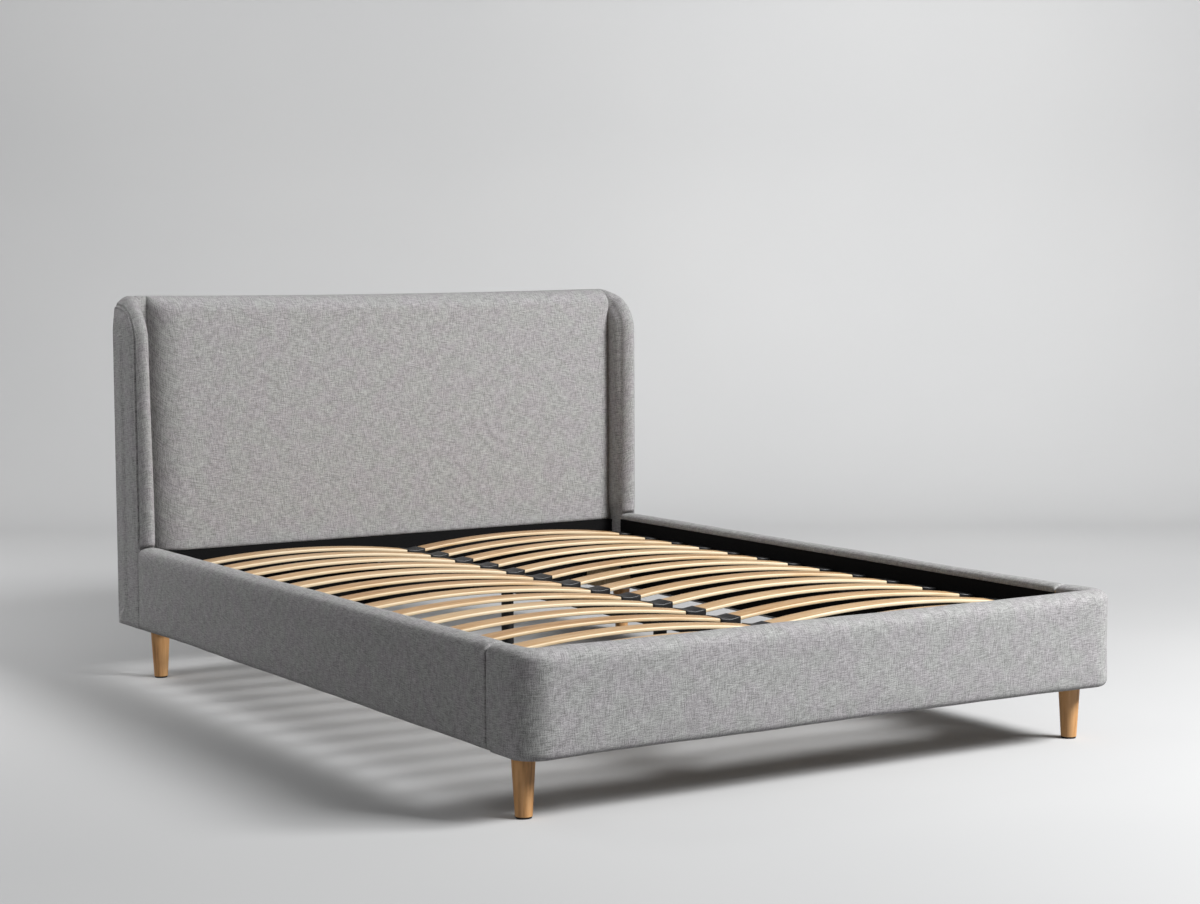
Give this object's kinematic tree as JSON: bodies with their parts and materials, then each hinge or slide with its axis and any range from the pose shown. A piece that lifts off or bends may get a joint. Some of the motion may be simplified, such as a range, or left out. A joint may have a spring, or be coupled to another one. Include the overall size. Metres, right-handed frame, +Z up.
{
  "type": "double bed frame",
  "caption": "Upholstered double bed frame with a winged headboard, padded rails, two rows of bowed sprung slats in caps, a centre rail and tapered round wooden legs.",
  "frame": {"origin": "on the floor, under the middle of the bed's box", "axes": "+Y from the foot to the headboard, +X to the right as seen from the foot, +Z up"},
  "size_m": [1.474, 2.05, 0.95],
  "materials": {
    "fabric": "mid grey melange linen weave over foam, matt",
    "black_cloth": "thin black lining cloth, matt",
    "timber": "unfinished softwood and plywood, hidden under the covers",
    "birch": "laminated birch, clear satin lacquer",
    "oak": "oiled oak, satin",
    "black_steel": "black powder coat, satin",
    "black_plastic": "black moulded plastic, low sheen",
    "zinc_steel": "zinc plated steel"
  },
  "bodies": {
    "bed_frame": {"headboard_cushion": "fabric", "headboard_panel": "timber", "headboard_frame": "timber", "headboard_lower_rail": "black_cloth", "headboard_back_cover": "black_cloth", "headboard_wing_left": "fabric", "headboard_wing_right": "fabric", "wing_boards": "timber", "side_rail_board_left": "timber", "side_rail_board_right": "timber", "side_rail_cover_left": "fabric", "side_rail_cover_right": "fabric", "foot_rail_board": "timber", "foot_rail_cover": "fabric", "rail_linings": "black_cloth", "slat_ledge_left": "black_steel", "slat_ledge_right": "black_steel", "centre_rail": "black_steel", "frame_brackets": "black_steel", "side_caps": "black_plastic", "centre_caps": "black_plastic", "leg_foot_left": "oak", "leg_foot_right": "oak", "leg_head_left": "oak", "leg_head_right": "oak", "leg_glides": "black_plastic", "leg_plates": "zinc_steel", "corner_blocks": "timber", "frame_fasteners": "zinc_steel", "centre_legs": "black_steel", "slat_left_01": "birch", "slat_left_02": "birch", "slat_left_03": "birch", "slat_left_04": "birch", "slat_left_05": "birch", "slat_left_06": "birch", "slat_left_07": "birch", "slat_left_08": "birch", "slat_left_09": "birch", "slat_left_10": "birch", "slat_left_11": "birch", "slat_left_12": "birch", "slat_left_13": "birch", "slat_left_14": "birch", "slat_right_01": "birch", "slat_right_02": "birch", "slat_right_03": "birch", "slat_right_04": "birch", "slat_right_05": "birch", "slat_right_06": "birch", "slat_right_07": "birch", "slat_right_08": "birch", "slat_right_09": "birch", "slat_right_10": "birch", "slat_right_11": "birch", "slat_right_12": "birch", "slat_right_13": "birch", "slat_right_14": "birch"},
    "foot_front": {"levelling_foot_front": "black_plastic"},
    "foot_rear": {"levelling_foot_rear": "black_plastic"}
  },
  "joints": [
    {"name": "level_front", "type": "slide", "parent": "bed_frame", "child": "foot_front", "axis": [0, 0, 1], "range_m": [-0.01, 0.012]},
    {"name": "level_rear", "type": "slide", "parent": "bed_frame", "child": "foot_rear", "axis": [0, 0, 1], "range_m": [-0.01, 0.012]}
  ]
}
